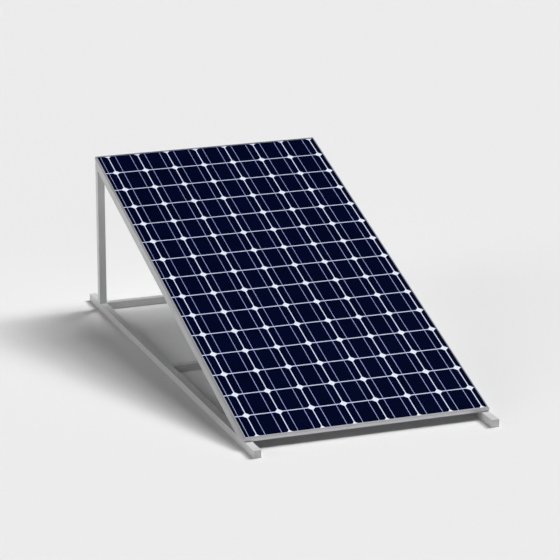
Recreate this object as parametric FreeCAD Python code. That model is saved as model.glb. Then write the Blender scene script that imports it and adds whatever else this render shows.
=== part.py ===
import FreeCAD, Part
import math
import os

# Framed photovoltaic module on a fixed triangular ground stand.
# Row frame: +X across the stand, -Y is the low front edge, +Z up. The origin is on the
# ground, midway between the two base rails and midway along them. All sizes in mm.

V = FreeCAD.Vector

# ---- driving dimensions: stand -------------------------------------------------------
TUBE = 30.0              # outside size of every square tube
TUBE_WALL = 2.0
RAIL_LENGTH = 2090.0     # base rails, over their end caps
FRONT_STUB = 92.0        # rail ahead of the module's front edge
TILT = 18.65             # module slope, degrees
SIDE_INSET = 2.0         # tubes stand this far inside the module's long edges
CAP_HEAD = 2.0           # visible plate of an end cap
CAP_PLUG = 12.0          # depth that a cap reaches into its tube
CAP_FIT = 0.2            # gap round the plug of a cap or spigot
CAP_WALL = 2.0           # wall of a hollow plug

# ---- driving dimensions: module ------------------------------------------------------
MODULE_W = 990.0
MODULE_L = 1970.0
MODULE_T = 18.0
BEVEL_W = 4.0            # outward bevel of the frame: width in plan, then depth
BEVEL_D = 5.0
LIP = 5.0                # frame seen from above, bevel and flat together
LEDGE_TOP = 5.9          # depth of the ledge that carries the laminate
LEDGE_T = 1.4
LEDGE_REACH = 16.0
SKIN = 1.6               # frame wall
CHAMBER = 8.4            # inner side of the hollow chamber, from the outer face
FLANGE_REACH = 32.0
SEAL_W = 1.0             # edge seal round the laminate
SEAL_REACH = 15.0        # seal under the laminate, from the outer face
KEY_LEG = 45.0           # corner keys, along each frame member

# Laminate layers as depths below the top plane
GLASS_TOP = 0.3
GLASS_BOTTOM = 3.5
CELL_TOP = 3.95
CELL_BOTTOM = 4.15
REAR_FILM_BOTTOM = 4.6
BACKSHEET_BOTTOM = 4.95

# Cells
CELL = 126.0             # pseudo-square cell
CELL_R = 80.4            # radius that rounds its four corners
PITCH_X = 130.1
ROWS = 15
FULL_COLUMNS = 7
FIRST_GAP = 48.5         # first long gap, inward from the left lip
CUT_MARGIN = 0.5         # cut cells stop this far short of the glass edge
RIBBON_W = 1.8
RIBBON_T = 0.15
RIBBON_AT = 0.2525       # ribbon offset from a cell's middle, in pitches
RIBBON_CLEAR = 0.05      # films stop this far from a ribbon
BUS_W = 6.0
BUS_T = 0.3
BUS_INSET = 16.0         # middle of a bus ribbon, from the module's end
BUS_MARGIN = 14.0        # end of a bus ribbon, from the glass edge
LEAD_W = 5.0
LEAD_DEPTH = 15.0        # end of a lead, inside the box
SLOT_W = 6.0             # clear slot round a lead
SLOT_T = 2.5
SLOT_DEPTH = 12.0

# Module bolts through the slope tubes
BOLT_STATIONS = (250.0, 740.0, 1230.0, 1720.0)
M6_R = 3.0
M6_HOLE_R = 3.3
M6_AF = 10.0
M6_HEAD_H = 4.0
M6_NUT_H = 5.0
BOLT_END = 7.4           # bolt's end above the flange
WASHER_R = 6.0
WASHER_T = 1.2
M8_R = 4.0
M8_HOLE_R = 4.3
M8_AF = 13.0

# Junction box, measured along the slope from the front edge
BOX_S = 1740.0
BOX_W = 120.0
BOX_L = 100.0
BOX_WALL = 2.5
BOX_CORNER_R = 5.0
GASKET_T = 0.5
BOX_TOP = 5.95
BOX_RIM = 35.5
LID_TOP = 36.3
LID_BOTTOM = 39.3
LID_EDGE = 0.3           # lid stops this far inside the box's outline
HINGE_GAP = 5.0          # hinge axis beyond the hinge wall
TAB_REACH = 8.0          # finger tab, up the box's front wall
HINGE_DEPTH = 36.5
HINGE_PIN_R = 1.5
HINGE_BORE_R = 1.55
KNUCKLE_R = 4.0
KNUCKLE = 19.7           # half length of the lid's knuckle
LUGS = ((-30.0, -20.0), (20.0, 30.0))
LUG_ROOT = 1.0           # how far a lug reaches into the box's rear wall
LUG_ROOM = 1.0           # lid's clearance each side of a lug
LUG_NOTCH = 11.0         # lid's notch for a lug, from the hinge axis
WEB_CLEAR = 0.7          # the knuckle's web stops this far inside its ends
TAB_HALF = 12.0
TAB_T = 3.0
RIBS = (-30.0, 30.0)     # raised ribs on the lid
RIB_HALF = 2.0
RIB_H = 1.2
RIB_FROM = -30.0         # ends of a rib, from the box's middle
RIB_TO = 25.0
GASKET_OUT = 1.1         # gasket's outer and inner edges, from the box's outline
GASKET_IN = 2.7
GLUE_W = 100.0           # adhesive pad
GLUE_MARGIN = 10.0

# Inside the junction box
TERMINALS = (-45.0, -15.0, 15.0, 45.0)
LEAD_S = 1775.0          # where the leads come through
CLAMP_HALF = 7.0         # brass clamp block: half width, length, height
CLAMP_L = 17.0
CLAMP_H = 8.0
CLAMP_GAP = 0.1
CLAMP_AT = 9.0           # clamp screws and diodes, from the leads
CLAMP_SCREW_R = 2.6
CLAMP_SCREW_H = 1.8
DIODE_WIRE_R = 0.6
DIODE_R = 2.7
DIODE_MARGIN = 3.0       # bare wire at each end of a diode
DIODE_DEPTH = 4.0        # under the box floor

# Cable glands in the box's front wall
GLANDS = (-35.0, 35.0)
GLAND_DEPTH = 26.0
GLAND_BORE_R = 3.1       # cable's way through body and seal
GLAND_R = 7.0
GLAND_L = 14.0
GLAND_AF = 17.0          # across the flats of flange and cap nut
GLAND_FLANGE_T = 4.0
GLAND_THREAD_R = 6.0
GLAND_THREAD_L = 11.0
GLAND_HOLE_R = 6.1
LOCK_NUT_AF = 16.0
LOCK_NUT_T = 4.0
SEAL_R = 6.5
SEAL_L = 4.0
CAP_NUT_FROM = 5.0       # cap nut's start, out from the wall
CAP_NUT_L = 13.5
CAP_NUT_BORE_R = 7.1
CAP_NUT_BORE_L = 13.0
CAP_NUT_MOUTH_R = 3.6
DOME_L = 4.0
DOME_WIDE_R = 8.3
DOME_NARROW_R = 5.2

# Joints of the stand
ANCHOR_INSET = 50.0      # ground anchors, from the rails' ends
ANCHOR_R = 4.0
ANCHOR_NUT_H = 6.5
ACCESS_R = 8.5           # way in for the post bolt's head through the rail's floor
PLATE_T = 4.0            # flat joint plates and their width
PLATE_W = 22.0
GUSSET = (78.0, 3.0)     # front plates: their ends, ahead of the slope tube's heel
GUSSET_LOW = 4.0
GUSSET_CLEAR = 1.5       # under the slope tube's upper face
RIVET_R = 4.5
RIVET_FIT = 0.05
RIVET_L = 14.0
RIVET_COLLAR = 1.2
RIVET_COLLAR_L = 3.0
SCREW_REACH = 12.0       # bracket screw past the tube's face
SCREW_HEAD_R = 5.2
SCREW_HEAD_H = 3.0
SCREW_HEAD_ROUND = 1.6
THREAD_FIT = 0.1
CLEAT_T = 3.0
CLEAT_LEG = 40.0
CLEAT_H = 24.0
CLEAT_HOLES = (16.0, 31.0)
REAR_SLOPE_HOLES = (32.0, 70.0)
REAR_POST_HOLES = (40.0, 75.0)
FRONT_SLOPE_HOLES = ((34.0, 38.5), (14.0, 41.5))
FRONT_RAIL_HOLES = (66.0, 24.0)
SPIGOT_H = 60.0
SPIGOT_BOLT_DEPTH = 31.0
SPIGOT_SCREW_DEPTH = 20.0
POST_BOLT_L = 26.0
POST_BOLT_HEAD_H = 5.3
POST_BOLT_WASHER_R = 8.0
POST_BOLT_WASHER_T = 1.6
POST_SCREW_HEIGHTS = (18.0, 42.0)
POST_SCREW_R = 2.5
POST_SCREW_HOLE_R = 2.6
POST_SCREW_L = 9.0
POST_SCREW_HEAD_R = 4.7
POST_SCREW_HEAD_H = 2.4
POST_SCREW_HEAD_ROUND = 1.2

# ---- derived places ------------------------------------------------------------------
COS = math.cos(math.radians(TILT))
SIN = math.sin(math.radians(TILT))
HALF_W = MODULE_W / 2
HALF_RAIL = RAIL_LENGTH / 2
OUTER_X = HALF_W - SIDE_INSET            # outer face of rails, posts and slope tubes
INNER_X = OUTER_X - TUBE
MID_X = OUTER_X - TUBE / 2
FRONT_Y = FRONT_STUB - HALF_RAIL         # module's front edge, top plane
FRONT_Z = TUBE + MODULE_T * COS          # its lower front edge rests on the rails
POST_REAR = FRONT_Y + MODULE_L * COS + MODULE_T * SIN
POST_FRONT = POST_REAR - TUBE
POST_MID = POST_REAR - TUBE / 2
SLOPE_TUBE_TOP = MODULE_T
SLOPE_TUBE_BOTTOM = MODULE_T + TUBE
PITCH_S = (MODULE_L - 2 * LIP) / ROWS
GRID_X = LIP + FIRST_GAP - HALF_W        # the first long gap between cells
GLASS_EDGE = LIP + SEAL_W
PAST = 1.0               # how far a cutting shape runs past the faces it cuts
BIG = 4000.0             # longer than anything here


# ---- helpers -------------------------------------------------------------------------
def box(x0, x1, y0, y1, z0, z1):
    return Part.makeBox(x1 - x0, y1 - y0, z1 - z0, V(x0, y0, z0))


def cylinder(radius, base, direction, length):
    return Part.makeCylinder(radius, length, V(*base), V(*direction))


def bored(shape, radius, base, direction, length):
    """Cuts a round hole; base and length are those of the wall or bar it goes through."""
    start = V(*base) - V(*direction) * PAST
    return shape.cut(Part.makeCylinder(radius, length + 2 * PAST, start, V(*direction)))


def hexagon(across_flats, base, direction, length):
    """Hexagonal prism from base along one of the frame's axes."""
    radius = across_flats / math.sqrt(3)
    along = V(*direction)
    side = V(0, 1, 0) if abs(along.x) > 0.5 else V(1, 0, 0)
    other = along.cross(side)
    corners = []
    for step in range(7):
        angle = math.radians(60 * step)
        corners.append(V(*base) + side * (radius * math.cos(angle)) + other * (radius * math.sin(angle)))
    return Part.Face(Part.makePolygon(corners)).extrude(along * length)


def slab(points, sweep):
    """Prism on a closed outline of 3-D points."""
    outline = [V(*p) for p in points]
    return Part.Face(Part.makePolygon(outline + outline[:1])).extrude(V(*sweep))


def tube(x0, x1, y0, y1, z0, z1, axis):
    """Square tube along axis 0, 1 or 2, open at both ends."""
    low = [x0, y0, z0]
    high = [x1, y1, z1]
    inner_low = [v + (-PAST if i == axis else TUBE_WALL) for i, v in enumerate(low)]
    inner_high = [v + (PAST if i == axis else -TUBE_WALL) for i, v in enumerate(high)]
    outer = box(x0, x1, y0, y1, z0, z1)
    inner = box(inner_low[0], inner_high[0], inner_low[1], inner_high[1], inner_low[2], inner_high[2])
    return outer.cut(inner)


def placed(shape):
    """Moves a shape from the module's own frame (x, slope, depth) onto the slope."""
    result = shape.copy()
    result.rotate(V(0, 0, 0), V(1, 0, 0), TILT)
    result.translate(V(0, FRONT_Y, FRONT_Z))
    return result


def layer(inset, top, bottom):
    """Flat sheet of the module, inset from its outline, between two depths."""
    return box(inset - HALF_W, HALF_W - inset, inset, MODULE_L - inset, -bottom, -top)


def export(name, shapes):
    solids = shapes if isinstance(shapes, list) else [shapes]
    shape = solids[0] if len(solids) == 1 else Part.makeCompound(solids)
    shape.exportStep("parts/" + name + ".step")


# ---- module frame --------------------------------------------------------------------
FRAME_OUTLINE = (
    (0, -MODULE_T), (0, -BEVEL_D), (BEVEL_W, 0), (LIP, 0), (LIP, -LEDGE_TOP),
    (LEDGE_REACH, -LEDGE_TOP), (LEDGE_REACH, -LEDGE_TOP - LEDGE_T),
    (CHAMBER + SKIN, -LEDGE_TOP - LEDGE_T), (CHAMBER + SKIN, SKIN - MODULE_T),
    (FLANGE_REACH, SKIN - MODULE_T), (FLANGE_REACH, -MODULE_T))
CHAMBER_OUTLINE = (
    (SKIN, SKIN - MODULE_T), (SKIN, -LEDGE_TOP - LEDGE_T),
    (CHAMBER, -LEDGE_TOP - LEDGE_T), (CHAMBER, SKIN - MODULE_T))
MITRE_REACH = FLANGE_REACH + 8


def extrusion(place, sweep):
    """Frame extrusion; place turns (inward, height) into a point."""
    outer = slab([place(a, n) for a, n in FRAME_OUTLINE], sweep)
    return outer.cut(slab([place(a, n) for a, n in CHAMBER_OUTLINE], sweep))


def side_member(side):
    edge = side * HALF_W
    bar = extrusion(lambda a, n: (edge - side * a, 0, n), (0, MODULE_L, 0))
    inner = edge - side * MITRE_REACH
    plan = [(edge, 0, -MODULE_T), (inner, MITRE_REACH, -MODULE_T),
            (inner, MODULE_L - MITRE_REACH, -MODULE_T), (edge, MODULE_L, -MODULE_T)]
    bar = bar.common(slab(plan, (0, 0, MODULE_T)))
    for station in BOLT_STATIONS:
        bar = bored(bar, M6_HOLE_R, (side * MID_X, station, -MODULE_T), (0, 0, 1), SKIN)
    return bar


def end_member(start, inward):
    bar = extrusion(lambda a, n: (-HALF_W, start + inward * a, n), (MODULE_W, 0, 0))
    inner = start + inward * MITRE_REACH
    plan = [(-HALF_W, start, -MODULE_T), (MITRE_REACH - HALF_W, inner, -MODULE_T),
            (HALF_W - MITRE_REACH, inner, -MODULE_T), (HALF_W, start, -MODULE_T)]
    return bar.common(slab(plan, (0, 0, MODULE_T)))


def corner_keys():
    """L-shaped keys that join the mitred corners inside the hollow chambers."""
    near = SKIN + CAP_FIT / 2
    far = CHAMBER - CAP_FIT / 2
    low = SKIN - MODULE_T + CAP_FIT / 2
    height = MODULE_T - SKIN - LEDGE_TOP - LEDGE_T - CAP_FIT
    plan = [(near, near), (KEY_LEG, near), (KEY_LEG, far), (far, far), (far, KEY_LEG), (near, KEY_LEG)]
    keys = []
    for side in (-1, 1):
        for start, inward in ((0, 1), (MODULE_L, -1)):
            points = [(side * (HALF_W - a), start + inward * b, low) for a, b in plan]
            keys.append(slab(points, (0, 0, height)))
    return keys


# ---- laminate ------------------------------------------------------------------------
def cell_plate(x, s):
    """Square plate whose corners are cut by a circle, as sliced from a round ingot."""
    half = CELL / 2
    flat = math.sqrt(CELL_R ** 2 - half ** 2)
    corner = CELL_R / math.sqrt(2)
    turns = ((1, 1), (-1, 1), (-1, -1), (1, -1))
    edges = []
    for index, (i, j) in enumerate(turns):
        start = V(i * half, j * flat, 0) if i == j else V(i * flat, j * half, 0)
        end = V(i * flat, j * half, 0) if i == j else V(i * half, j * flat, 0)
        edges.append(Part.Arc(start, V(i * corner, j * corner, 0), end).toShape())
        i2, j2 = turns[(index + 1) % 4]
        nxt = V(i2 * half, j2 * flat, 0) if i2 == j2 else V(i2 * flat, j2 * half, 0)
        edges.append(Part.LineSegment(end, nxt).toShape())
    plate = Part.Face(Part.Wire(edges)).extrude(V(0, 0, CELL_BOTTOM - CELL_TOP))
    plate.translate(V(x, s, -CELL_BOTTOM))
    return plate


def solar_cells():
    """Full columns, and the cut columns along both long edges."""
    window = layer(GLASS_EDGE + CUT_MARGIN, CELL_TOP - PAST, CELL_BOTTOM + PAST)
    cells = []
    for row in range(ROWS):
        s = LIP + (row + 0.5) * PITCH_S
        for column in range(-1, FULL_COLUMNS + 1):
            plate = cell_plate(GRID_X + (column + 0.5) * PITCH_X, s)
            cut = column < 0 or column == FULL_COLUMNS
            cells.append(plate.common(window) if cut else plate)
    return cells


def ribbon_places():
    """Ribbon lines along the slope: two a column, one on the cut column at the left."""
    places = [GRID_X - (0.5 - RIBBON_AT) * PITCH_X]
    for column in range(FULL_COLUMNS):
        middle = GRID_X + (column + 0.5) * PITCH_X
        places += [middle - RIBBON_AT * PITCH_X, middle + RIBBON_AT * PITCH_X]
    return places


def cell_ribbons(grow=0.0):
    first = LIP + (PITCH_S - CELL) / 2
    half = RIBBON_W / 2 + grow
    return [box(x - half, x + half, first, MODULE_L - first, -CELL_TOP, RIBBON_T - CELL_TOP)
            for x in ribbon_places()]


def bus_ribbons(grow=0.0):
    """Two collecting ribbons behind the cells and four leads into the junction box."""
    top = -CELL_BOTTOM
    low = top - BUS_T - grow
    reach = HALF_W - GLASS_EDGE - BUS_MARGIN + grow
    half = BUS_W / 2 + grow
    upper = MODULE_L - BUS_INSET
    strips = [box(-reach, reach, s - half, s + half, low, top) for s in (BUS_INSET, upper)]
    for x in TERMINALS:
        x0, x1 = x - LEAD_W / 2 - grow, x + LEAD_W / 2 + grow
        run = box(x0, x1, LEAD_S, upper - BUS_W / 2, low, top)
        drop = box(x0, x1, LEAD_S - grow, LEAD_S + BUS_T + grow, -LEAD_DEPTH, top)
        strips.append(run.fuse(drop).removeSplitter())
    return strips


def front_encapsulant():
    sheet = layer(GLASS_EDGE, GLASS_BOTTOM, CELL_TOP)
    return sheet.cut(Part.makeCompound(cell_ribbons(RIBBON_CLEAR)))


def rear_encapsulant():
    sheet = layer(GLASS_EDGE, CELL_BOTTOM, REAR_FILM_BOTTOM)
    return sheet.cut(Part.makeCompound(bus_ribbons(RIBBON_CLEAR)))


def lead_slots():
    """Clear slots for the leads through backsheet, adhesive and box floor."""
    half = SLOT_W / 2
    start = LEAD_S + BUS_T / 2 - SLOT_T / 2
    return Part.makeCompound([box(x - half, x + half, start, start + SLOT_T, -SLOT_DEPTH, 0)
                              for x in TERMINALS])


def edge_seal():
    """Silicone round the laminate's edge and under its rim, on the frame's ledge."""
    block = layer(LIP, GLASS_TOP, LEDGE_TOP)
    block = block.cut(layer(GLASS_EDGE, GLASS_TOP - PAST, BACKSHEET_BOTTOM))
    return block.cut(layer(SEAL_REACH, GLASS_TOP - PAST, LEDGE_TOP + PAST))


# ---- junction box --------------------------------------------------------------------
BOX_LOW_S = BOX_S - BOX_L / 2
BOX_HIGH_S = BOX_S + BOX_L / 2
HINGE_S = BOX_HIGH_S + HINGE_GAP


def rounded_slab(inset, z0, z1):
    """The junction box's outline, inset, with its upright edges rounded."""
    reach = BOX_W / 2 - inset
    block = box(-reach, reach, BOX_LOW_S + inset, BOX_HIGH_S - inset, z0, z1)
    upright = [e for e in block.Edges if abs(e.tangentAt(0).z) > 0.9]
    return block.makeFillet(BOX_CORNER_R - inset, upright)


def box_base():
    """Open tray glued under the backsheet, mouth down, with hinge lugs."""
    tray = rounded_slab(0, -BOX_RIM, -BOX_TOP)
    tray = tray.cut(rounded_slab(BOX_WALL, -BOX_RIM - PAST, -BOX_TOP - BOX_WALL))
    for x0, x1 in LUGS:
        axis = (x0, HINGE_S, -HINGE_DEPTH)
        lug = box(x0, x1, BOX_HIGH_S - LUG_ROOT, HINGE_S, -HINGE_DEPTH - KNUCKLE_R,
                  -HINGE_DEPTH + KNUCKLE_R + BOX_WALL)
        tray = tray.fuse(lug).fuse(cylinder(KNUCKLE_R, axis, (1, 0, 0), x1 - x0))
        tray = bored(tray, HINGE_BORE_R, axis, (1, 0, 0), x1 - x0)
    for x in GLANDS:
        tray = bored(tray, GLAND_HOLE_R, (x, BOX_LOW_S, -GLAND_DEPTH), (0, 1, 0), BOX_WALL)
    return tray.cut(lead_slots()).removeSplitter()


def box_gasket():
    """Foam ring on the box's rim."""
    ring = rounded_slab(GASKET_OUT, -BOX_RIM - GASKET_T, -BOX_RIM)
    return ring.cut(rounded_slab(GASKET_IN, -BOX_RIM - PAST, -BOX_RIM + PAST))


def box_lid():
    """Flat lid with a hinge knuckle, two raised ribs and a finger tab."""
    plate = rounded_slab(LID_EDGE, -LID_BOTTOM, -LID_TOP)
    for x0, x1 in LUGS:
        plate = plate.cut(box(x0 - LUG_ROOM, x1 + LUG_ROOM, HINGE_S - LUG_NOTCH, HINGE_S + PAST,
                              -LID_BOTTOM - PAST, -LID_TOP + PAST))
    axis = (-KNUCKLE, HINGE_S, -HINGE_DEPTH)
    web_end = KNUCKLE - WEB_CLEAR
    web = box(-web_end, web_end, BOX_HIGH_S - BOX_WALL, HINGE_S, -LID_BOTTOM, -LID_TOP)
    knuckle = cylinder(KNUCKLE_R, axis, (1, 0, 0), 2 * KNUCKLE)
    tab_front = BOX_LOW_S - TAB_T
    tab = box(-TAB_HALF, TAB_HALF, tab_front, BOX_LOW_S - LID_EDGE, -LID_BOTTOM, TAB_REACH - LID_TOP)
    bridge = box(-TAB_HALF, TAB_HALF, tab_front, BOX_LOW_S + BOX_WALL, -LID_BOTTOM, -LID_TOP)
    lid = plate.fuse(web).fuse(knuckle).fuse(tab).fuse(bridge)
    for x in RIBS:
        rib = box(x - RIB_HALF, x + RIB_HALF, BOX_S + RIB_FROM, BOX_S + RIB_TO,
                  -LID_BOTTOM - RIB_H, -LID_BOTTOM)
        lid = lid.fuse(rib)
    return bored(lid, HINGE_BORE_R, axis, (1, 0, 0), 2 * KNUCKLE).removeSplitter()


def box_hinge_pin():
    return cylinder(HINGE_PIN_R, (LUGS[0][0], HINGE_S, -HINGE_DEPTH), (1, 0, 0), LUGS[1][1] - LUGS[0][0])


def terminals():
    """Brass clamp blocks, one to a lead, each with its clamp screw's head."""
    top = -BOX_TOP - BOX_WALL
    blocks = []
    for x in TERMINALS:
        block = box(x - CLAMP_HALF, x + CLAMP_HALF, LEAD_S - CLAMP_L, LEAD_S - CLAMP_GAP,
                    top - CLAMP_H, top)
        head = cylinder(CLAMP_SCREW_R, (x, LEAD_S - CLAMP_AT, top - CLAMP_H), (0, 0, -1), CLAMP_SCREW_H)
        blocks.append(block.fuse(head).removeSplitter())
    return blocks


def bypass_diodes():
    """Axial diodes bridging neighbouring terminals."""
    depth = -BOX_TOP - BOX_WALL - DIODE_DEPTH
    s = LEAD_S - CLAMP_AT
    diodes = []
    for left, right in zip(TERMINALS, TERMINALS[1:]):
        start = left + CLAMP_HALF
        length = right - left - 2 * CLAMP_HALF
        wire = cylinder(DIODE_WIRE_R, (start, s, depth), (1, 0, 0), length)
        body = cylinder(DIODE_R, (start + DIODE_MARGIN, s, depth), (1, 0, 0), length - 2 * DIODE_MARGIN)
        diodes.append(wire.fuse(body).removeSplitter())
    return diodes


def gland_bodies():
    """Each has a hexagonal flange outside the wall and a thread through it."""
    glands = []
    for x in GLANDS:
        base = (x, BOX_LOW_S, -GLAND_DEPTH)
        outer = cylinder(GLAND_R, base, (0, -1, 0), GLAND_L)
        flange = hexagon(GLAND_AF, base, (0, -1, 0), GLAND_FLANGE_T)
        thread = cylinder(GLAND_THREAD_R, base, (0, 1, 0), GLAND_THREAD_L)
        gland = outer.fuse(flange).fuse(thread)
        end = (x, BOX_LOW_S - GLAND_L, -GLAND_DEPTH)
        glands.append(bored(gland, GLAND_BORE_R, end, (0, 1, 0), GLAND_L + GLAND_THREAD_L).removeSplitter())
    return glands


def gland_lock_nuts():
    nuts = []
    for x in GLANDS:
        start = (x, BOX_LOW_S + BOX_WALL, -GLAND_DEPTH)
        nut = hexagon(LOCK_NUT_AF, start, (0, 1, 0), LOCK_NUT_T)
        nuts.append(bored(nut, GLAND_HOLE_R, start, (0, 1, 0), LOCK_NUT_T))
    return nuts


def gland_seals():
    seals = []
    for x in GLANDS:
        start = (x, BOX_LOW_S - GLAND_L, -GLAND_DEPTH)
        ring = cylinder(SEAL_R, start, (0, -1, 0), SEAL_L)
        seals.append(bored(ring, GLAND_BORE_R, start, (0, -1, 0), SEAL_L))
    return seals


def gland_nuts():
    """Domed cap nuts that squeeze the seals."""
    nuts = []
    for x in GLANDS:
        start = (x, BOX_LOW_S - CAP_NUT_FROM, -GLAND_DEPTH)
        end = V(x, start[1] - CAP_NUT_L, -GLAND_DEPTH)
        nut = hexagon(GLAND_AF, start, (0, -1, 0), CAP_NUT_L)
        nut = nut.fuse(Part.makeCone(DOME_WIDE_R, DOME_NARROW_R, DOME_L, end, V(0, -1, 0)))
        inside = (x, start[1] + PAST, -GLAND_DEPTH)
        nut = nut.cut(cylinder(CAP_NUT_BORE_R, inside, (0, -1, 0), CAP_NUT_BORE_L + PAST))
        nuts.append(bored(nut, CAP_NUT_MOUTH_R, start, (0, -1, 0), CAP_NUT_L + DOME_L).removeSplitter())
    return nuts


# ---- stand ---------------------------------------------------------------------------
ANCHOR_Y = HALF_RAIL - ANCHOR_INSET
CROSS_RAILS = {"cross_rail_middle": (-TUBE / 2, TUBE / 2), "cross_rail_rear": (POST_FRONT, POST_REAR)}


def slope_height(y, depth):
    """Height, at a given y, of the plane at a depth below the module's top plane."""
    return FRONT_Z + (y - FRONT_Y) * SIN / COS - depth / COS


KNEE = (POST_MID, slope_height(POST_MID, SLOPE_TUBE_TOP + TUBE / 2))
TOE = FRONT_Y + MODULE_T * SIN           # where the slope tube's upper face meets the rail
HEEL = TOE + TUBE / SIN                  # where its lower face does


def rear_screw_places():
    """Screw centres (y, z) of a rear joint plate: two on the slope tube, two on the post."""
    slope = [(KNEE[0] - along * COS, KNEE[1] - along * SIN) for along in REAR_SLOPE_HOLES]
    return slope + [(KNEE[0], KNEE[1] - drop) for drop in REAR_POST_HOLES]


def front_screw_places():
    """Screw centres of a front joint plate: two on the slope tube, two on the rail."""
    slope = [(HEEL - ahead, z) for ahead, z in FRONT_SLOPE_HOLES]
    return slope + [(HEEL - ahead, TUBE / 2) for ahead in FRONT_RAIL_HOLES]


def screw_frames():
    """Every bracket screw: its point on the tube face, the way into the tube, the plate's thickness."""
    frames = []
    for side in (-1, 1):
        for y, z in rear_screw_places() + front_screw_places():
            frames.append(((side * INNER_X, y, z), (side, 0, 0), PLATE_T))
        for y0, y1 in CROSS_RAILS.values():
            for reach in CLEAT_HOLES:
                frames.append(((side * INNER_X, y1 + reach, TUBE / 2), (side, 0, 0), CLEAT_T))
                frames.append(((side * (INNER_X - reach), y1, TUBE / 2), (0, -1, 0), CLEAT_T))
    return frames


def drilled(shape):
    """Cuts the rivet-nut holes of the bracket screws that meet this tube."""
    cutters = []
    for point, direction, _ in screw_frames():
        start = V(*point) - V(*direction) * PAST
        cutters.append(cylinder(RIVET_R, start, direction, TUBE_WALL + 2 * PAST))
    return shape.cut(Part.makeCompound(cutters))


def base_rail(side):
    x0, x1 = sorted((side * INNER_X, side * OUTER_X))
    end = HALF_RAIL - CAP_HEAD
    rail = drilled(tube(x0, x1, -end, end, 0, TUBE, 1))
    x = side * MID_X
    for y in (-ANCHOR_Y, ANCHOR_Y):
        rail = bored(rail, ANCHOR_R, (x, y, 0), (0, 0, 1), TUBE_WALL)
    rail = bored(rail, ACCESS_R, (x, POST_MID, 0), (0, 0, 1), TUBE_WALL)
    return bored(rail, M8_HOLE_R, (x, POST_MID, TUBE - TUBE_WALL), (0, 0, 1), TUBE_WALL)


def cross_rail(y0, y1):
    return drilled(tube(-INNER_X, INNER_X, y0, y1, 0, TUBE, 0))


def slope_prism(depth, below):
    """Half-space under (or over) the plane at a depth below the module's top plane."""
    z0, z1 = (-BIG, -depth) if below else (-depth, BIG)
    return placed(box(-BIG, BIG, -BIG, BIG, z0, z1))


def post(side):
    x0, x1 = sorted((side * INNER_X, side * OUTER_X))
    column = tube(x0, x1, POST_FRONT, POST_REAR, TUBE, BIG, 2).cut(slope_prism(SLOPE_TUBE_BOTTOM, False))
    for height in POST_SCREW_HEIGHTS:
        wall = (side * MID_X, POST_REAR - TUBE_WALL, TUBE + height)
        column = bored(column, POST_SCREW_HOLE_R, wall, (0, 1, 0), TUBE_WALL)
    return drilled(column)


def slope_tube(side):
    """Sloping tube, mitred flat onto the rail in front and cut upright at the rear."""
    x0, x1 = sorted((side * INNER_X, side * OUTER_X))
    bar = tube(x0, x1, -TUBE / SIN, MODULE_L + TUBE / SIN, -SLOPE_TUBE_BOTTOM, -SLOPE_TUBE_TOP, 1)
    for station in BOLT_STATIONS:
        bar = bored(bar, M6_HOLE_R, (side * MID_X, station, -SLOPE_TUBE_BOTTOM), (0, 0, 1), TUBE)
    bar = placed(bar)
    bar = bar.cut(box(-BIG, BIG, -BIG, BIG, -BIG, TUBE))
    bar = bar.cut(box(-BIG, BIG, POST_REAR - CAP_HEAD, BIG, -BIG, BIG))
    return drilled(bar)


def rail_end_caps():
    caps = []
    inner = TUBE_WALL + CAP_FIT
    for side in (-1, 1):
        x0, x1 = sorted((side * INNER_X, side * OUTER_X))
        for end in (-1, 1):
            face = end * HALF_RAIL
            back = face - end * CAP_HEAD
            deep = back - end * CAP_PLUG
            head = box(x0, x1, min(face, back), max(face, back), 0, TUBE)
            plug = box(x0 + inner, x1 - inner, min(back, deep), max(back, deep), inner, TUBE - inner)
            hollow = inner + CAP_WALL
            core = box(x0 + hollow, x1 - hollow, min(back, deep - end), max(back, deep - end),
                       hollow, TUBE - hollow)
            caps.append(head.fuse(plug.cut(core)).removeSplitter())
    return caps


def slope_tube_caps():
    """Upright caps on the rear ends of the slope tubes."""
    caps = []
    for side in (-1, 1):
        x0, x1 = sorted((side * INNER_X, side * OUTER_X))
        head = box(x0, x1, POST_REAR - CAP_HEAD, POST_REAR, TUBE, BIG)
        head = head.cut(slope_prism(SLOPE_TUBE_BOTTOM, True)).cut(slope_prism(SLOPE_TUBE_TOP, False))
        inner = TUBE_WALL + CAP_FIT
        plug = box(x0 + inner, x1 - inner, POST_REAR - CAP_HEAD - CAP_PLUG, POST_REAR - CAP_HEAD, TUBE, BIG)
        plug = plug.cut(slope_prism(SLOPE_TUBE_BOTTOM - inner, True))
        plug = plug.cut(slope_prism(SLOPE_TUBE_TOP + inner, False))
        caps.append(head.fuse(plug).removeSplitter())
    return caps


def post_spigots():
    """Blocks inside the posts' feet, drawn down onto the rails."""
    half = TUBE / 2 - TUBE_WALL - CAP_FIT / 2
    blocks = []
    for side in (-1, 1):
        x = side * MID_X
        block = box(x - half, x + half, POST_MID - half, POST_MID + half, TUBE, TUBE + SPIGOT_H)
        foot = (x, POST_MID, TUBE - PAST)
        block = block.cut(cylinder(M8_R + THREAD_FIT, foot, (0, 0, 1), SPIGOT_BOLT_DEPTH + PAST))
        for height in POST_SCREW_HEIGHTS:
            start = (x, POST_REAR - POST_SCREW_L - PAST, TUBE + height)
            block = block.cut(cylinder(POST_SCREW_HOLE_R, start, (0, 1, 0), SPIGOT_SCREW_DEPTH))
        blocks.append(block)
    return blocks


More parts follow.
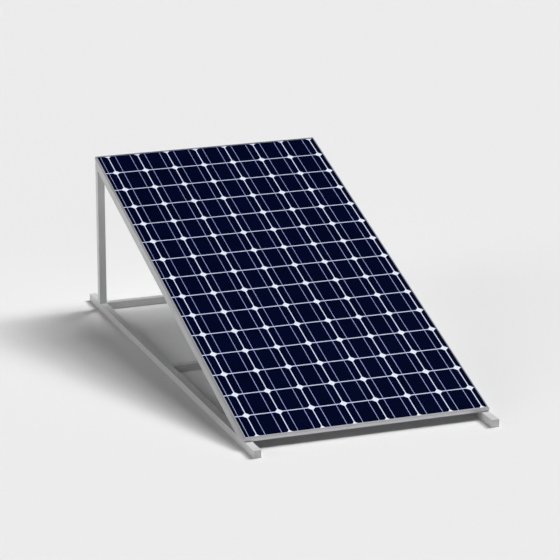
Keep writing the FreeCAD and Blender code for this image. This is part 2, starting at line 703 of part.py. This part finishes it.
def post_bolts():
    """Upright bolts; each head pulls up against the inside of the rail's top wall."""
    under = TUBE - TUBE_WALL
    bolts = []
    for side in (-1, 1):
        x = side * MID_X
        head = hexagon(M8_AF, (x, POST_MID, under - POST_BOLT_WASHER_T), (0, 0, -1), POST_BOLT_HEAD_H)
        washer = cylinder(POST_BOLT_WASHER_R, (x, POST_MID, under), (0, 0, -1), POST_BOLT_WASHER_T)
        shank = cylinder(M8_R, (x, POST_MID, under), (0, 0, 1), POST_BOLT_L)
        bolts.append(head.fuse(washer).fuse(shank).removeSplitter())
    return bolts


def rounded_head(radius, height, rounding, seat, away):
    """Screw head on its seat, its outer rim rounded."""
    head = cylinder(radius, seat, away, height)
    top = V(*seat) + V(*away) * height
    rim = [e for e in head.Edges if (e.CenterOfMass - top).Length < rounding / 2]
    return head.makeFillet(rounding, rim)


def post_screws():
    screws = []
    for side in (-1, 1):
        for height in POST_SCREW_HEIGHTS:
            seat = (side * MID_X, POST_REAR, TUBE + height)
            shank = cylinder(POST_SCREW_R, seat, (0, -1, 0), POST_SCREW_L)
            head = rounded_head(POST_SCREW_HEAD_R, POST_SCREW_HEAD_H, POST_SCREW_HEAD_ROUND,
                                seat, (0, 1, 0))
            screws.append(shank.fuse(head).removeSplitter())
    return screws


def strip(start, end, width):
    """Outline in the (y, z) plane of a flat strip with square ends past two centres."""
    dy = end[0] - start[0]
    dz = end[1] - start[1]
    length = math.hypot(dy, dz)
    along = (dy / length, dz / length)
    over = width / 2
    across = (-along[1] * over, along[0] * over)
    y0, z0 = start[0] - along[0] * over, start[1] - along[1] * over
    y1, z1 = end[0] + along[0] * over, end[1] + along[1] * over
    return [(y0 + across[0], z0 + across[1]), (y1 + across[0], z1 + across[1]),
            (y1 - across[0], z1 - across[1]), (y0 - across[0], z0 - across[1])]


def joint_plate(side, outlines, screws):
    """Flat plate on the tubes' inner faces, with clear holes for its screws."""
    x = side * INNER_X
    sweep = (-side * PLATE_T, 0, 0)
    legs = [slab([(x, y, z) for y, z in outline], sweep) for outline in outlines]
    plate = legs[0].fuse(legs[1:]).removeSplitter()
    for y, z in screws:
        plate = bored(plate, M6_HOLE_R, (x, y, z), (-side, 0, 0), PLATE_T)
    return plate


def rear_plates():
    screws = rear_screw_places()
    outlines = [strip(KNEE, screws[1], PLATE_W), strip(KNEE, screws[3], PLATE_W)]
    return [joint_plate(side, outlines, screws) for side in (-1, 1)]


def front_plates():
    """Gussets over the flat mitre where slope tube and rail touch."""
    low, high = (HEEL - ahead for ahead in GUSSET)
    below = SLOPE_TUBE_TOP + GUSSET_CLEAR
    outline = [(low, GUSSET_LOW), (high, GUSSET_LOW), (high, slope_height(high, below)),
               (low, slope_height(low, below))]
    return [joint_plate(side, [outline], front_screw_places()) for side in (-1, 1)]


def cross_rail_cleats():
    """Angle cleats in the rear corners between cross rails and base rails."""
    cleats = []
    z0 = (TUBE - CLEAT_H) / 2
    for side in (-1, 1):
        for y0, y1 in CROSS_RAILS.values():
            x0, x1 = sorted((side * INNER_X, side * (INNER_X - CLEAT_LEG)))
            t0, t1 = sorted((side * INNER_X, side * (INNER_X - CLEAT_T)))
            angle = box(x0, x1, y1, y1 + CLEAT_T, z0, z0 + CLEAT_H)
            angle = angle.fuse(box(t0, t1, y1, y1 + CLEAT_LEG, z0, z0 + CLEAT_H)).removeSplitter()
            for reach in CLEAT_HOLES:
                on_rail = (side * INNER_X, y1 + reach, TUBE / 2)
                on_cross_rail = (side * (INNER_X - reach), y1, TUBE / 2)
                angle = bored(angle, M6_HOLE_R, on_rail, (-side, 0, 0), CLEAT_T)
                angle = bored(angle, M6_HOLE_R, on_cross_rail, (0, 1, 0), CLEAT_T)
            cleats.append(angle)
    return cleats


def bracket_screws():
    """Button-head screws through plates and cleats into the rivet nuts."""
    screws = []
    for point, direction, thickness in screw_frames():
        seat = V(*point) - V(*direction) * thickness
        shank = cylinder(M6_R - THREAD_FIT, seat, direction, thickness + SCREW_REACH)
        head = rounded_head(SCREW_HEAD_R, SCREW_HEAD_H, SCREW_HEAD_ROUND, seat, V(*direction) * -1)
        screws.append(shank.fuse(head).removeSplitter())
    return screws


def rivet_nuts():
    """Flush threaded sleeves set into the tube walls behind plates and cleats."""
    nuts = []
    for point, direction, _ in screw_frames():
        sleeve = cylinder(RIVET_R - RIVET_FIT, point, direction, RIVET_L)
        behind = V(*point) + V(*direction) * TUBE_WALL
        sleeve = sleeve.fuse(cylinder(RIVET_R + RIVET_COLLAR, behind, direction, RIVET_COLLAR_L))
        nuts.append(bored(sleeve, M6_R, point, direction, RIVET_L).removeSplitter())
    return nuts


def anchor_nuts():
    """Weld nuts on the rails' floors, over the four anchor holes."""
    nuts = []
    for side in (-1, 1):
        for y in (-ANCHOR_Y, ANCHOR_Y):
            base = (side * MID_X, y, TUBE_WALL)
            nut = hexagon(M8_AF, base, (0, 0, 1), ANCHOR_NUT_H)
            nuts.append(bored(nut, ANCHOR_R, base, (0, 0, 1), ANCHOR_NUT_H))
    return nuts


# ---- module bolts, in the module's own frame -----------------------------------------
FLANGE_TOP = SKIN - MODULE_T


def bolt_sites():
    return [(side * MID_X, station) for side in (-1, 1) for station in BOLT_STATIONS]


def module_bolts():
    """Bolts up through the slope tubes and the frame's bottom flange."""
    seat = -SLOPE_TUBE_BOTTOM - WASHER_T
    bolts = []
    for x, s in bolt_sites():
        shank = cylinder(M6_R, (x, s, seat), (0, 0, 1), FLANGE_TOP + BOLT_END - seat)
        bolts.append(shank.fuse(hexagon(M6_AF, (x, s, seat), (0, 0, -1), M6_HEAD_H)).removeSplitter())
    return bolts


def module_washers():
    washers = []
    for x, s in bolt_sites():
        for low in (-SLOPE_TUBE_BOTTOM - WASHER_T, FLANGE_TOP):
            disc = cylinder(WASHER_R, (x, s, low), (0, 0, 1), WASHER_T)
            washers.append(bored(disc, M6_R + 2 * THREAD_FIT, (x, s, low), (0, 0, 1), WASHER_T))
    return washers


def module_nuts():
    low = FLANGE_TOP + WASHER_T
    nuts = []
    for x, s in bolt_sites():
        nut = hexagon(M6_AF, (x, s, low), (0, 0, 1), M6_NUT_H)
        nuts.append(bored(nut, M6_R + THREAD_FIT, (x, s, low), (0, 0, 1), M6_NUT_H))
    return nuts


# ---- every piece ---------------------------------------------------------------------
def module_pieces():
    glue = box(-GLUE_W / 2, GLUE_W / 2, BOX_LOW_S + GLUE_MARGIN, BOX_HIGH_S - GLUE_MARGIN,
               -BOX_TOP, -BACKSHEET_BOTTOM)
    return {
        "frame_side_left": side_member(-1),
        "frame_side_right": side_member(1),
        "frame_end_front": end_member(0, 1),
        "frame_end_rear": end_member(MODULE_L, -1),
        "frame_corner_keys": corner_keys(),
        "edge_seal": edge_seal(),
        "cover_glass": layer(GLASS_EDGE, GLASS_TOP, GLASS_BOTTOM),
        "front_encapsulant": front_encapsulant(),
        "solar_cells": solar_cells(),
        "cell_ribbons": cell_ribbons(),
        "bus_ribbons": bus_ribbons(),
        "rear_encapsulant": rear_encapsulant(),
        "backsheet": layer(GLASS_EDGE, REAR_FILM_BOTTOM, BACKSHEET_BOTTOM).cut(lead_slots()),
        "junction_box_adhesive": glue.cut(lead_slots()),
        "junction_box_base": box_base(),
        "junction_box_gasket": box_gasket(),
        "junction_box_lid": box_lid(),
        "junction_box_hinge_pin": box_hinge_pin(),
        "terminals": terminals(),
        "bypass_diodes": bypass_diodes(),
        "gland_bodies": gland_bodies(),
        "gland_lock_nuts": gland_lock_nuts(),
        "gland_seals": gland_seals(),
        "gland_nuts": gland_nuts(),
        "module_bolts": module_bolts(),
        "module_washers": module_washers(),
        "module_nuts": module_nuts(),
    }


def stand_pieces():
    pieces = {
        "base_rail_left": base_rail(-1),
        "base_rail_right": base_rail(1),
        "post_left": post(-1),
        "post_right": post(1),
        "slope_tube_left": slope_tube(-1),
        "slope_tube_right": slope_tube(1),
        "rail_end_caps": rail_end_caps(),
        "slope_tube_caps": slope_tube_caps(),
        "post_spigots": post_spigots(),
        "post_bolts": post_bolts(),
        "post_screws": post_screws(),
        "rear_joint_plates": rear_plates(),
        "front_joint_plates": front_plates(),
        "cross_rail_cleats": cross_rail_cleats(),
        "bracket_screws": bracket_screws(),
        "rivet_nuts": rivet_nuts(),
        "anchor_nuts": anchor_nuts(),
    }
    for name, (y0, y1) in CROSS_RAILS.items():
        pieces[name] = cross_rail(y0, y1)
    return pieces


def main():
    os.makedirs("parts", exist_ok=True)
    for name, shapes in module_pieces().items():
        solids = shapes if isinstance(shapes, list) else [shapes]
        export(name, [placed(solid) for solid in solids])
    for name, shapes in stand_pieces().items():
        export(name, shapes)


main()
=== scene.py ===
import math

import bpy
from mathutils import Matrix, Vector


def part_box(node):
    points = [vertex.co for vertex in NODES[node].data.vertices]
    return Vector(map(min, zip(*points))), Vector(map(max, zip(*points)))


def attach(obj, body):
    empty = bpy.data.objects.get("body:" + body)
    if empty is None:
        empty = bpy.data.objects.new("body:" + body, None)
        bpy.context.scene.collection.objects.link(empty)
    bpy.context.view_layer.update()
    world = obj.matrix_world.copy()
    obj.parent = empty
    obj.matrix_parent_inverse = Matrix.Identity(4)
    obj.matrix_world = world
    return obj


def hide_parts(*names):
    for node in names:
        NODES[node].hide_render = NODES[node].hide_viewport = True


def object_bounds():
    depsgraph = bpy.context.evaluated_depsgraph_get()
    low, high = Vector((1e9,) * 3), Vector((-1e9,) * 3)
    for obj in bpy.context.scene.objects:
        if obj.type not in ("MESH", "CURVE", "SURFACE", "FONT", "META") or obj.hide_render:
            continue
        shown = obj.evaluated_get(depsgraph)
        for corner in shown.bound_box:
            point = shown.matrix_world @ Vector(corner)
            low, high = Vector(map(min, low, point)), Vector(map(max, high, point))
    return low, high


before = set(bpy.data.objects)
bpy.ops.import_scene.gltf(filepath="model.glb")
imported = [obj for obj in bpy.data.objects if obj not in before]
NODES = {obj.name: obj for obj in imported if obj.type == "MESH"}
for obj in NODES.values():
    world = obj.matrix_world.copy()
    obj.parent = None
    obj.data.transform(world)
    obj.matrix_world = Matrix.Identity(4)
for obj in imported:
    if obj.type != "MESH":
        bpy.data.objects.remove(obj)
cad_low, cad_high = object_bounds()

X, Y, Z = 0, 1, 2
TILT = math.radians(18.65)     # the module's slope
UP_SLOPE = Vector((0, math.cos(TILT), math.sin(TILT)))
OFF_SLOPE = Vector((0, -math.sin(TILT), math.cos(TILT)))
PITCH_X = 0.1301               # cells, across the module
PITCH_S = 1.96 / 15            # cells, up the slope
FIRST_GAP_X = -0.4415          # the leftmost long gap between cells

STAND_GREY = (0.625, 0.625, 0.632)
# painted shade: the slope tubes get the stand's grey darkened, standing in for shade on their faces
SLOPE_TUBE_SHADED_GREY = (0.53, 0.53, 0.536)
FRAME_END_GREY = (0.63, 0.637, 0.668)
# painted shade: the frame's side members get the end members' grey darkened
FRAME_SIDE_SHADED_GREY = (0.535, 0.545, 0.575)


# ---- small node-tree helpers ---------------------------------------------------------
class Tree:
    """A material's node tree, with short calls for the nodes used here."""

    def __init__(self, name):
        self.mat = bpy.data.materials.new(name)
        self.mat.use_nodes = True
        self.nt = self.mat.node_tree
        self.nt.nodes.clear()
        self.out = self.nt.nodes.new("ShaderNodeOutputMaterial")

    def node(self, kind, inputs=None, **settings):
        n = self.nt.nodes.new("ShaderNode" + kind)
        for key, value in settings.items():
            setattr(n, key, value)
        for key, value in (inputs or {}).items():
            self.set(n.inputs[key], value)
        return n

    def set(self, socket, value):
        if isinstance(value, bpy.types.NodeSocket):
            self.nt.links.new(value, socket)
        elif isinstance(value, tuple) and len(value) == 3 and socket.type == "RGBA":
            socket.default_value = (*value, 1.0)
        else:
            socket.default_value = value

    def math(self, operation, a, b=0.0):
        return self.node("Math", {0: a, 1: b}, operation=operation).outputs[0]

    def mix(self, factor, a, b):
        """Colour a to colour b."""
        n = self.nt.nodes.new("ShaderNodeMix")
        n.data_type = "RGBA"
        for socket, value in ((n.inputs[0], factor), (n.inputs[6], a), (n.inputs[7], b)):
            self.set(socket, value)
        return n.outputs[2]

    def ramp(self, value, low, high, to_low=0.0, to_high=1.0):
        inputs = {"Value": value, "From Min": low, "From Max": high, "To Min": to_low, "To Max": to_high}
        return self.node("MapRange", inputs).outputs[0]

    def place(self, turn=0.0, scale=(1, 1, 1)):
        """Object coordinates (metres in the row frame), turned about X and scaled."""
        coords = self.node("TexCoord").outputs["Object"]
        turned = self.node("Mapping", {"Vector": coords, "Rotation": (turn, 0, 0)}).outputs[0]
        return self.node("Mapping", {"Vector": turned, "Scale": scale}).outputs[0]

    def streaks(self, along, along_scale, across_scale, turn=0.0, detail=2.0, roughness=0.5):
        """Noise drawn out along one axis."""
        stretch = tuple(along_scale if axis == along else across_scale for axis in (X, Y, Z))
        return self.noise(self.place(turn, stretch), 1.0, detail, roughness)

    def noise(self, vector, scale, detail=2.0, roughness=0.5):
        inputs = {"Vector": vector, "Scale": scale, "Detail": detail, "Roughness": roughness}
        return self.node("TexNoise", inputs).outputs["Fac"]

    def off_line(self, value, start, pitch):
        """Distance from the nearest of the evenly spaced lines, in metres."""
        phase = self.math("DIVIDE", self.math("SUBTRACT", value, start - pitch / 2), pitch)
        off = self.math("SUBTRACT", self.math("FRACT", phase), 0.5)
        return self.math("MULTIPLY", self.math("ABSOLUTE", off), pitch)

    def bump(self, height, strength, distance):
        inputs = {"Height": height, "Strength": strength, "Distance": distance}
        return self.node("Bump", inputs).outputs[0]

    def principled(self, **inputs):
        names = {k: k.replace("_", " ").title().replace("Ior", "IOR") for k in inputs}
        return self.node("BsdfPrincipled", {names[k]: v for k, v in inputs.items()}).outputs[0]

    def finish(self, shader):
        self.nt.links.new(shader, self.out.inputs["Surface"])
        return self.mat


def shade(colour, factor):
    return tuple(min(1.0, c * factor) for c in colour)


# ---- metals --------------------------------------------------------------------------
def drawn_metal(name, colour, along, turn=0.0, rough=0.42, metallic=0.0):
    """Matt anodised extrusion: faint die lines along one axis, cloudy tone, small specks."""
    t = Tree(name)
    lines = t.streaks(along, along_scale=2.5, across_scale=700.0, turn=turn, detail=3.0, roughness=0.6)
    cloud = t.noise(t.place(turn), scale=9.0, detail=3.0, roughness=0.55)
    speck = t.noise(t.place(turn), scale=900.0, detail=1.0)
    tone = t.math("ADD", t.ramp(lines, 0.3, 0.7, -0.035, 0.035), t.ramp(cloud, 0.3, 0.7, -0.03, 0.03))
    base = t.mix(t.ramp(tone, -0.07, 0.07), shade(colour, 0.86), shade(colour, 1.12))
    grit = t.math("ADD", lines, t.math("MULTIPLY", speck, 0.3))
    roughness = t.ramp(grit, 0.3, 1.0, rough - 0.07, rough + 0.08)
    height = t.math("ADD", lines, t.math("MULTIPLY", speck, 0.25))
    normal = t.bump(height, strength=0.12, distance=0.0004)
    return t.finish(t.principled(base_color=base, roughness=roughness, metallic=metallic, normal=normal))


def plated_metal(name, colour, rough):
    """Zinc-plated or brass hardware: bright metal with fine turning marks and dull patches."""
    t = Tree(name)
    patch = t.noise(t.place(), scale=160.0, detail=3.0)
    marks = t.noise(t.place(scale=(1, 1, 7)), scale=500.0)
    base = t.mix(t.ramp(patch, 0.35, 0.7), colour, shade(colour, 0.72))
    roughness = t.ramp(t.math("ADD", patch, marks), 0.6, 1.4, rough - 0.08, rough + 0.12)
    normal = t.bump(marks, strength=0.2, distance=0.0001)
    return t.finish(t.principled(base_color=base, roughness=roughness, metallic=1.0, normal=normal))


# ---- the laminate --------------------------------------------------------------------
def cell_material(finger_pitch=0.0022, finger_share=0.07):
    """Textured monocrystalline silicon under its dark blue coating, with fine grid fingers."""
    t = Tree("cell_silicon")
    plane = t.place(-TILT)
    y = t.node("SeparateXYZ", {"Vector": plane}).outputs["Y"]
    phase = t.math("FRACT", t.math("DIVIDE", y, finger_pitch))
    finger = t.math("LESS_THAN", t.math("ABSOLUTE", t.math("SUBTRACT", phase, 0.5)), finger_share / 2)
    cloud = t.noise(plane, scale=5.0)
    grain = t.noise(plane, scale=1500.0)
    blue = t.mix(t.ramp(cloud, 0.3, 0.7), (0.0002, 0.0013, 0.0143), (0.0003, 0.0019, 0.0190))
    blue = t.mix(t.math("MULTIPLY", finger, 0.6), blue, (0.006, 0.010, 0.040))
    normal = t.bump(grain, strength=0.25, distance=0.0001)
    return t.finish(t.principled(base_color=blue, roughness=0.38, normal=normal, specular_ior_level=0.004))


def ribbon_material(name, along, low, high):
    """Tinned copper ribbon with streaks along it, between two colours."""
    t = Tree(name)
    streak = t.streaks(along, along_scale=3.0, across_scale=900.0, turn=-TILT)
    rough = t.ramp(streak, 0.3, 0.7, 0.38, 0.55)
    return t.finish(t.principled(base_color=t.mix(streak, low, high), roughness=rough, metallic=0.35))


def finish_sheet(t, low, high):
    """Bright film or sheet between two near-white colours, with the faint texture of its weave."""
    plane = t.place(-TILT)
    cloud = t.noise(plane, scale=14.0)
    fine = t.noise(plane, scale=700.0)
    normal = t.bump(fine, strength=0.2, distance=0.0002)
    rough = t.ramp(fine, 0.3, 0.7, 0.5, 0.65)
    return t.finish(t.principled(base_color=t.mix(cloud, low, high), roughness=rough, normal=normal))


def backsheet_material():
    """Plain white backsheet, as seen from below."""
    return finish_sheet(Tree("backsheet_white"), (0.78, 0.785, 0.80), (0.84, 0.845, 0.855))


def gap_film_material(white_within=0.014, gap_shade_from=0.020):
    """White rear film, with painted shade and painted blue reflection of the cells' edges in the narrow gaps,
    whiter where they cross.
    """
    t = Tree("white_film")
    split = t.node("SeparateXYZ", {"Vector": t.place(-TILT)}).outputs
    middle = sum((Vector(c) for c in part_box("cover_glass")), Vector()) / 2
    along_x = t.off_line(split["X"], FIRST_GAP_X, PITCH_X)
    along_s = t.off_line(split["Y"], middle.dot(UP_SLOPE) + PITCH_S / 2, PITCH_S)
    # painted shade and painted blue reflection: darker and bluer away from the gap crossings
    tint = t.ramp(t.math("ADD", along_x, along_s), white_within, gap_shade_from)
    low = t.mix(tint, (0.77, 0.80, 0.96), (0.685, 0.725, 0.98))
    high = t.mix(tint, (0.83, 0.86, 1.00), (0.735, 0.775, 1.00))
    return finish_sheet(t, low, high)


def glass_material(least=0.0002, most=0.35, falloff=7.0):
    """Etched solar glass: clear, with a weak reflection that grows at grazing angles."""
    t = Tree("cover_glass")
    ripple = t.noise(t.place(-TILT), scale=500.0)
    normal = t.bump(ripple, strength=0.05, distance=0.0001)
    facing = t.node("LayerWeight", {"Blend": 0.5}).outputs["Facing"]
    grazing = t.math("MULTIPLY", t.math("POWER", facing, falloff), most)
    front = t.math("SUBTRACT", 1.0, t.node("NewGeometry").outputs["Backfacing"])
    share = t.math("MULTIPLY", t.math("ADD", grazing, least), front)
    gloss = t.node("BsdfGlossy", {"Color": (1.0, 1.0, 1.0), "Roughness": 0.10, "Normal": normal}).outputs[0]
    clear = t.node("BsdfTransparent", {"Color": (0.985, 0.99, 0.99)}).outputs[0]
    return t.finish(t.node("MixShader", {0: share, 1: clear, 2: gloss}).outputs[0])


def film_material():
    """Encapsulant: nothing of it shows but a slight tint."""
    t = Tree("clear_film")
    haze = t.noise(t.place(-TILT), scale=40.0, detail=1.0)
    milky = t.node("BsdfDiffuse", {"Color": (0.8, 0.85, 0.9)}).outputs[0]
    clear = t.node("BsdfTransparent", {"Color": (0.995, 0.998, 1.0)}).outputs[0]
    share = t.ramp(haze, 0.3, 0.7, 0.0001, 0.0003)
    return t.finish(t.node("MixShader", {0: share, 1: clear, 2: milky}).outputs[0])


# ---- plastics, rubber and the floor --------------------------------------------------
def moulded_plastic(name, colour, rough):
    """Spark-eroded mould grain with faint mottling."""
    t = Tree(name)
    grain = t.noise(t.place(), scale=1400.0, detail=3.0, roughness=0.6)
    cloud = t.noise(t.place(), scale=30.0)
    base = t.mix(t.ramp(cloud, 0.3, 0.7), shade(colour, 0.85), shade(colour, 1.15))
    normal = t.bump(grain, strength=0.35, distance=0.0002)
    roughness = t.ramp(grain, 0.3, 0.7, rough - 0.06, rough + 0.06)
    return t.finish(t.principled(base_color=base, roughness=roughness, normal=normal))


def rubber_material(name, colour):
    """Matt rubber or silicone with a little dust on it."""
    t = Tree(name)
    dust = t.noise(t.place(), scale=220.0, detail=4.0, roughness=0.65)
    dusty = tuple(c * 1.5 + 0.01 for c in colour)
    base = t.mix(t.ramp(dust, 0.45, 0.8), colour, dusty)
    normal = t.bump(dust, strength=0.3, distance=0.0003)
    return t.finish(t.principled(base_color=base, roughness=t.ramp(dust, 0.3, 0.7, 0.7, 0.85), normal=normal))


def floor_material():
    """Plain pale floor with a barely visible grain."""
    t = Tree("floor")
    grain = t.noise(t.place(), scale=60.0)
    base = t.mix(grain, (0.795, 0.795, 0.795), (0.805, 0.805, 0.805))
    return t.finish(t.principled(base_color=base, roughness=0.9, specular_ior_level=0.0))


# ---- each node gets its material -----------------------------------------------------
def dress(material, *names):
    for name in names:
        slots = NODES[name].data.materials
        slots.clear()
        slots.append(material)


def dress_stand():
    dress(drawn_metal("stand_tube_y", STAND_GREY, Y), "base_rail_left", "base_rail_right")
    dress(drawn_metal("stand_tube_x", STAND_GREY, X), "cross_rail_middle", "cross_rail_rear")
    dress(drawn_metal("stand_tube_z", STAND_GREY, Z), "post_left", "post_right", "post_spigots")
    # the slope tubes take a darker copy of the stand's grey: painted shade
    dress(drawn_metal("stand_tube_slope", SLOPE_TUBE_SHADED_GREY, Y, -TILT), "slope_tube_left", "slope_tube_right")
    dress(drawn_metal("stand_plate", STAND_GREY, Z),
          "rear_joint_plates", "front_joint_plates", "cross_rail_cleats")
    dress(moulded_plastic("cap_plastic", STAND_GREY, 0.5), "rail_end_caps", "slope_tube_caps")


def dress_module():
    # the side members take a darker copy of the frame's grey: painted shade
    side_metal = drawn_metal("frame_side", FRAME_SIDE_SHADED_GREY, Y, -TILT, rough=0.36, metallic=0.3)
    end_metal = drawn_metal("frame_end", FRAME_END_GREY, X, -TILT, rough=0.36, metallic=0.3)
    lavender = ribbon_material("cell_ribbon", Y, (0.33, 0.39, 0.72), (0.52, 0.59, 1.00))
    near_white = ribbon_material("bus_ribbon", X, (0.74, 0.77, 0.92), (0.82, 0.85, 0.97))
    dress(side_metal, "frame_side_left", "frame_side_right")
    dress(end_metal, "frame_end_front", "frame_end_rear", "frame_corner_keys")
    dress(cell_material(), "solar_cells")
    dress(lavender, "cell_ribbons")
    dress(near_white, "bus_ribbons")
    dress(backsheet_material(), "backsheet")
    dress(glass_material(), "cover_glass")
    dress(gap_film_material(), "rear_encapsulant")


def dress_small_parts():
    dress(moulded_plastic("black_plastic", (0.018, 0.018, 0.020), 0.5),
          "junction_box_base", "junction_box_lid", "bypass_diodes",
          "gland_bodies", "gland_lock_nuts", "gland_nuts")
    dress(rubber_material("black_rubber", (0.02, 0.02, 0.022)), "junction_box_gasket", "gland_seals")
    dress(rubber_material("grey_silicone", (0.45, 0.46, 0.50)), "edge_seal", "junction_box_adhesive")
    dress(plated_metal("zinc_plate", (0.55, 0.56, 0.58), 0.32),
          "post_bolts", "post_screws", "bracket_screws", "rivet_nuts", "anchor_nuts",
          "module_bolts", "module_washers", "module_nuts", "junction_box_hinge_pin")
    dress(plated_metal("brass", (0.62, 0.46, 0.18), 0.30), "terminals")


# ---- front film ----------------------------------------------------------------------
def grid_faces(columns, rows):
    """Quads of a grid whose points were made row by row."""
    faces = []
    for j in range(rows):
        for i in range(columns):
            a = j * (columns + 1) + i
            faces.append((a, a + 1, a + columns + 2, a + columns + 1))
    return faces


def add_front_film(columns=24, rows=48, inset=0.0008, ripple=0.00002, ripple_x=1.9, ripple_s=1.3):
    """The clear film over the cells as one slightly rippled skin, halfway down its thickness."""
    low, high = (Vector(c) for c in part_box("front_encapsulant"))
    rise, run = high.z - low.z, high.y - low.y
    # the slab's lower front edge is the lowest corner, its upper front edge is the foremost one
    thickness = (rise * math.cos(TILT) - run * math.sin(TILT)) / math.cos(2 * TILT)
    length = (run - thickness * math.sin(TILT)) / math.cos(TILT)
    foot = Vector((0, low.y + thickness * math.sin(TILT), low.z)) + OFF_SLOPE * (thickness / 2)
    verts = []
    for j in range(rows + 1):
        s = inset + (length - 2 * inset) * j / rows
        for i in range(columns + 1):
            x = low.x + inset + (high.x - low.x - 2 * inset) * i / columns
            lift = ripple * math.sin(i * ripple_x) * math.cos(j * ripple_s)
            verts.append(foot + UP_SLOPE * s + OFF_SLOPE * lift + Vector((x, 0, 0)))
    mesh = bpy.data.meshes.new("front_film")
    mesh.from_pydata(verts, [], grid_faces(columns, rows))
    mesh.polygons.foreach_set("use_smooth", [True] * len(mesh.polygons))
    mesh.materials.append(film_material())
    film = bpy.data.objects.new("front_film", mesh)
    bpy.context.scene.collection.objects.link(film)
    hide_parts("front_encapsulant")
    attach(film, "panel_and_stand")


# ---- studio --------------------------------------------------------------------------
def add_floor(size=400.0, below=0.0003):
    half = size / 2
    corners = [(-half, -half, 0), (half, -half, 0), (half, half, 0), (-half, half, 0)]
    mesh = bpy.data.meshes.new("floor")
    mesh.from_pydata(corners, [], [(0, 1, 2, 3)])
    mesh.materials.append(floor_material())
    floor = bpy.data.objects.new("floor", mesh)
    floor.location.z = -below
    bpy.context.scene.collection.objects.link(floor)


# Lamps: name, direction in plan from +X, height (both in degrees), softness (degrees), strength
LAMPS = (
    ("key_low", 0, 47, 12, 0.65),
    ("key_high", 0, 53, 16, 0.52),
    ("key_side", 22, 50, 24, 1.22),
    ("top", 0, 68, 24, 1.08),
    ("left_fill", 180, 22, 40, 0.95),
    ("front_fill", -90, 12, 30, 0.25),
)


def add_lamps():
    """A soft key light from the stand's right, light from above, and low fills that cast no gloss."""
    for name, plan, height, softness, strength in LAMPS:
        light = bpy.data.lights.new(name, "SUN")
        light.energy = strength
        light.angle = math.radians(softness)
        a, e = math.radians(plan), math.radians(height)
        toward = Vector((math.cos(a) * math.cos(e), math.sin(a) * math.cos(e), math.sin(e)))
        lamp = bpy.data.objects.new(name, light)
        lamp.rotation_mode = "QUATERNION"
        lamp.rotation_quaternion = toward.to_track_quat("Z", "Y")
        lamp.visible_glossy = not name.endswith("fill")
        bpy.context.scene.collection.objects.link(lamp)


def add_world(horizon=7.4, above=0.02, fade_from=0.14, fade_to=0.28):
    """White surroundings, bright near the horizon, as round a curved studio backdrop."""
    world = bpy.data.worlds.new("studio")
    world.use_nodes = True
    nt = world.node_tree
    coords = nt.nodes.new("ShaderNodeTexCoord")
    split = nt.nodes.new("ShaderNodeSeparateXYZ")
    fade = nt.nodes.new("ShaderNodeMapRange")
    fade.interpolation_type = "SMOOTHSTEP"
    fade.inputs["From Min"].default_value = fade_from
    fade.inputs["From Max"].default_value = fade_to
    fade.inputs["To Min"].default_value = horizon
    fade.inputs["To Max"].default_value = above
    nt.links.new(coords.outputs["Generated"], split.inputs[0])
    nt.links.new(split.outputs["Z"], fade.inputs["Value"])
    nt.links.new(fade.outputs[0], nt.nodes["Background"].inputs["Strength"])
    bpy.context.scene.world = world


def add_camera(azimuth=-20.43, elevation=16.75, lens=174.47, distance=10.922, pan=(-0.0006, -0.0024)):
    """Aimed at the middle of the stand, moved a little across and down by pan, in metres."""
    a, e = math.radians(azimuth), math.radians(elevation)
    back = Vector((math.sin(a) * math.cos(e), -math.cos(a) * math.cos(e), math.sin(e)))
    side = Vector((math.cos(a), math.sin(a), 0))
    data = bpy.data.cameras.new("camera")
    data.lens = lens
    data.sensor_width = 36.0
    data.clip_end = 600.0
    camera = bpy.data.objects.new("camera", data)
    aim = (cad_low + cad_high) / 2 + side * pan[0] + back.cross(side) * pan[1]
    camera.location = aim + back * distance
    camera.rotation_mode = "QUATERNION"
    camera.rotation_quaternion = back.to_track_quat("Z", "Y")
    bpy.context.scene.collection.objects.link(camera)
    bpy.context.scene.camera = camera


dress_stand()
dress_module()
dress_small_parts()
add_front_film()
add_floor()
add_lamps()
add_world()
add_camera()
bpy.context.scene.view_settings.view_transform = "Standard"
